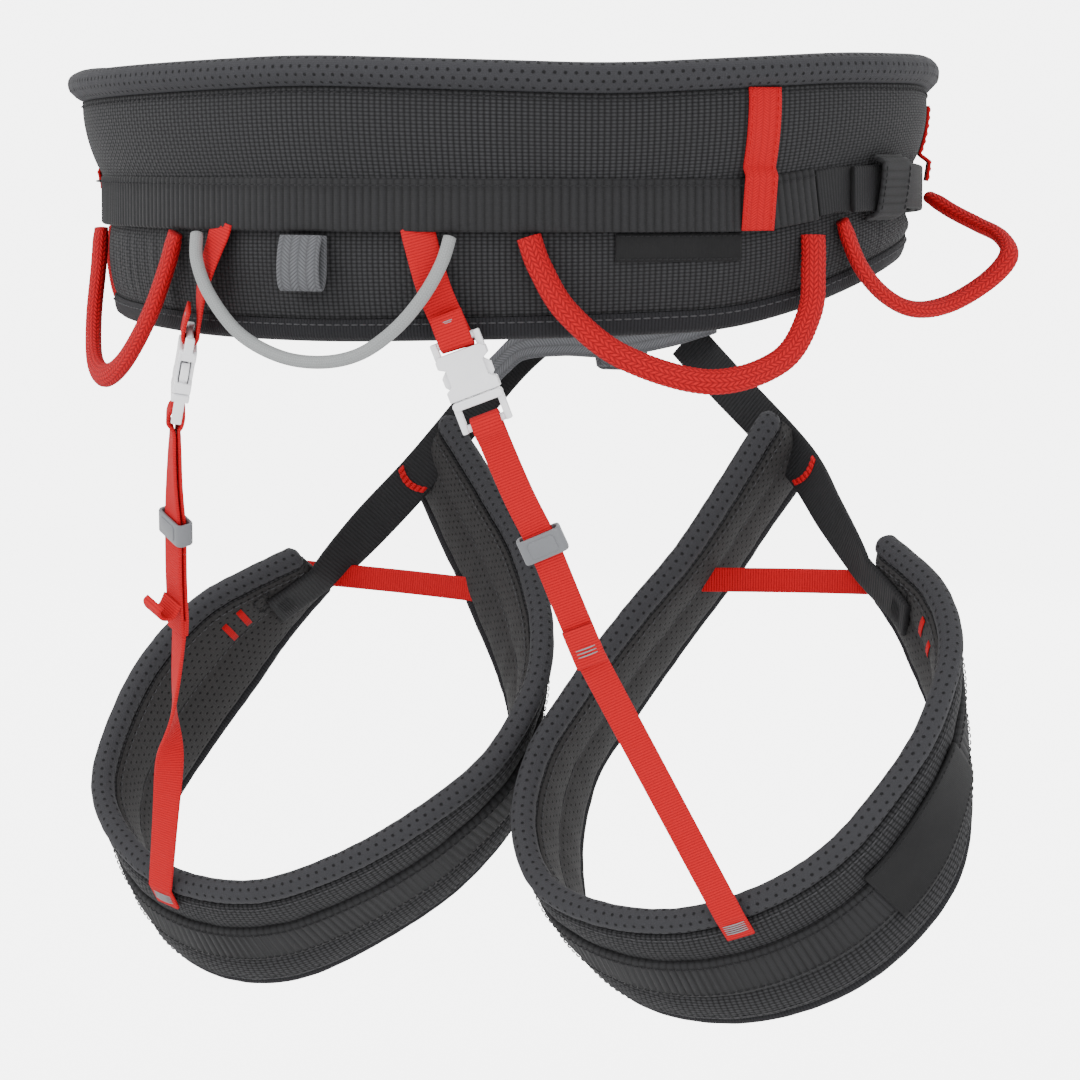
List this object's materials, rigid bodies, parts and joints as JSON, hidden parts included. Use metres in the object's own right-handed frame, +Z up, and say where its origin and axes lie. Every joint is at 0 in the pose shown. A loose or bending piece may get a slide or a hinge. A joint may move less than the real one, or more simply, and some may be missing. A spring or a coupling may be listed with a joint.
{
  "type": "climbing harness",
  "caption": "Sport climbing harness: padded waist belt with buckle and belay loop, padded leg loops on elastic risers with clips, swinging gear loops, a rear haul tab and a cord.",
  "frame": {"origin": "centre of the waist opening, at the middle height of the belt's woven band", "axes": "+Z up, towards the wearer's head; +Y the way the wearer faces; +X the wearer's right"},
  "size_m": [0.3339, 0.273, 0.3291],
  "materials": {
    "braided_sleeve": "woven red sleeve",
    "white_plastic": "smooth white",
    "grey_plastic": "satin grey",
    "red_elastic": "woven elastic, matt",
    "grey_webbing": "herringbone webbing",
    "grey_cord": "smooth grey cord",
    "alloy": "satin",
    "spacer_mesh": "charcoal perforated knit over foam",
    "woven_mesh": "dark fine woven mesh",
    "grosgrain": "fine ribbed tape",
    "ribbed_webbing": "ribbed black webbing",
    "label": "plain black satin patch",
    "black_webbing": "plain woven black webbing"
  },
  "bodies": {
    "belt": {"belt_pad": "woven_mesh", "belt_rim": "spacer_mesh", "belt_binding": "grosgrain", "belt_band": "ribbed_webbing", "label_patch": "label", "waist_strap_left": "black_webbing", "waist_strap_right": "black_webbing", "waist_strap_tail": "black_webbing", "waist_keeper": "black_webbing", "buckle_frame": "alloy", "tie_in_point": "grey_webbing", "belay_loop": "grey_webbing", "side_tape_right": "red_elastic", "side_tape_left": "red_elastic", "front_tape_right": "red_elastic", "front_tape_left": "red_elastic", "rear_cord": "grey_cord", "riser_top_right": "red_elastic", "riser_top_left": "red_elastic", "clip_socket_right": "white_plastic", "clip_socket_left": "white_plastic", "riser_fold_right": "red_elastic", "riser_fold_left": "red_elastic", "leg_tie_in": "grey_webbing"},
    "slider": {"buckle_slider": "alloy"},
    "gear_rear_right": {"gear_loop_rear_right": "braided_sleeve"},
    "gear_rear_left": {"gear_loop_rear_left": "braided_sleeve"},
    "gear_front_right": {"gear_loop_front_right": "braided_sleeve"},
    "gear_front_left": {"gear_loop_front_left": "braided_sleeve"},
    "haul_tab": {"haul_tab": "grey_webbing"},
    "plug_right": {"clip_plug_right": "white_plastic"},
    "plug_left": {"clip_plug_left": "white_plastic"},
    "keeper_right": {"riser_keeper_right": "grey_plastic"},
    "keeper_left": {"riser_keeper_left": "grey_plastic"},
    "leg_right": {"riser_strap_right": "red_elastic", "leg_pad_right": "woven_mesh", "leg_rim_right": "spacer_mesh", "leg_edge_right": "spacer_mesh", "leg_band_right": "ribbed_webbing", "leg_label": "label", "leg_strap_right": "black_webbing", "leg_elastic_right": "red_elastic"},
    "leg_left": {"riser_strap_left": "red_elastic", "leg_pad_left": "woven_mesh", "leg_rim_left": "spacer_mesh", "leg_edge_left": "spacer_mesh", "leg_band_left": "ribbed_webbing", "leg_strap_left": "black_webbing", "leg_elastic_left": "red_elastic"}
  },
  "joints": [
    {"name": "gear_rear_right_swing", "type": "hinge", "parent": "belt", "child": "gear_rear_right", "pos_m": [0.10606, -0.07336, -0.0091], "axis": [-0.7025, -0.7117, 0], "range_deg": [0, 50], "stiffness_Nm_per_rad": 0.05},
    {"name": "gear_front_right_swing", "type": "hinge", "parent": "belt", "child": "gear_front_right", "pos_m": [0.14178, 0.01299, -0.0013], "axis": [0.0614, -0.9947, -0.0823], "range_deg": [-8, 35], "stiffness_Nm_per_rad": 0.05},
    {"name": "gear_rear_left_swing", "type": "hinge", "parent": "belt", "child": "gear_rear_left", "pos_m": [-0.09294, -0.0836, -0.0091], "axis": [-0.7724, 0.6351, 0], "range_deg": [0, 50], "stiffness_Nm_per_rad": 0.05},
    {"name": "gear_front_left_swing", "type": "hinge", "parent": "belt", "child": "gear_front_left", "pos_m": [-0.13778, 0.01263, -0.0091], "axis": [0.0898, 0.996, 0], "range_deg": [0, 50], "stiffness_Nm_per_rad": 0.05},
    {"name": "haul_tab_swing", "type": "hinge", "parent": "belt", "child": "haul_tab", "pos_m": [-0.00255, -0.12213, -0.0091], "axis": [-0.9999, 0.0146, 0], "range_deg": [0, 70], "stiffness_Nm_per_rad": 0.01},
    {"name": "clip_right_release", "type": "slide", "parent": "belt", "child": "plug_right", "axis": [0.3115, 0.173, -0.9344], "range_m": [0, 0.014], "deforming": ["riser_fold_right"]},
    {"name": "keeper_right_slide", "type": "slide", "parent": "belt", "child": "keeper_right", "axis": [0.2421, 0.3822, -0.8918], "range_m": [-0.006, 0.012], "deforming": ["riser_fold_right"]},
    {"name": "leg_right_swing", "type": "hinge", "parent": "belt", "child": "leg_right", "pos_m": [0, 0.079, -0.05], "axis": [1, 0, 0], "range_deg": [-5, 7], "stiffness_Nm_per_rad": 1, "springref_deg": -2.01, "deforming": ["riser_strap_right"]},
    {"name": "clip_left_release", "type": "slide", "parent": "belt", "child": "plug_left", "axis": [-0.3115, 0.173, -0.9344], "range_m": [0, 0.014], "deforming": ["riser_fold_left"]},
    {"name": "keeper_left_slide", "type": "slide", "parent": "belt", "child": "keeper_left", "axis": [-0.2421, 0.3822, -0.8918], "range_m": [-0.006, 0.012], "deforming": ["riser_fold_left"]},
    {"name": "leg_left_swing", "type": "hinge", "parent": "belt", "child": "leg_left", "pos_m": [0, 0.079, -0.05], "axis": [1, 0, 0], "range_deg": [-5, 7], "stiffness_Nm_per_rad": 1, "springref_deg": -2.01, "deforming": ["riser_strap_left"]},
    {"name": "buckle_tip", "type": "hinge", "parent": "belt", "child": "slider", "pos_m": [0.06826, 0.11597, 0.001], "axis": [0, 0, -1], "range_deg": [0, 30]}
  ]
}
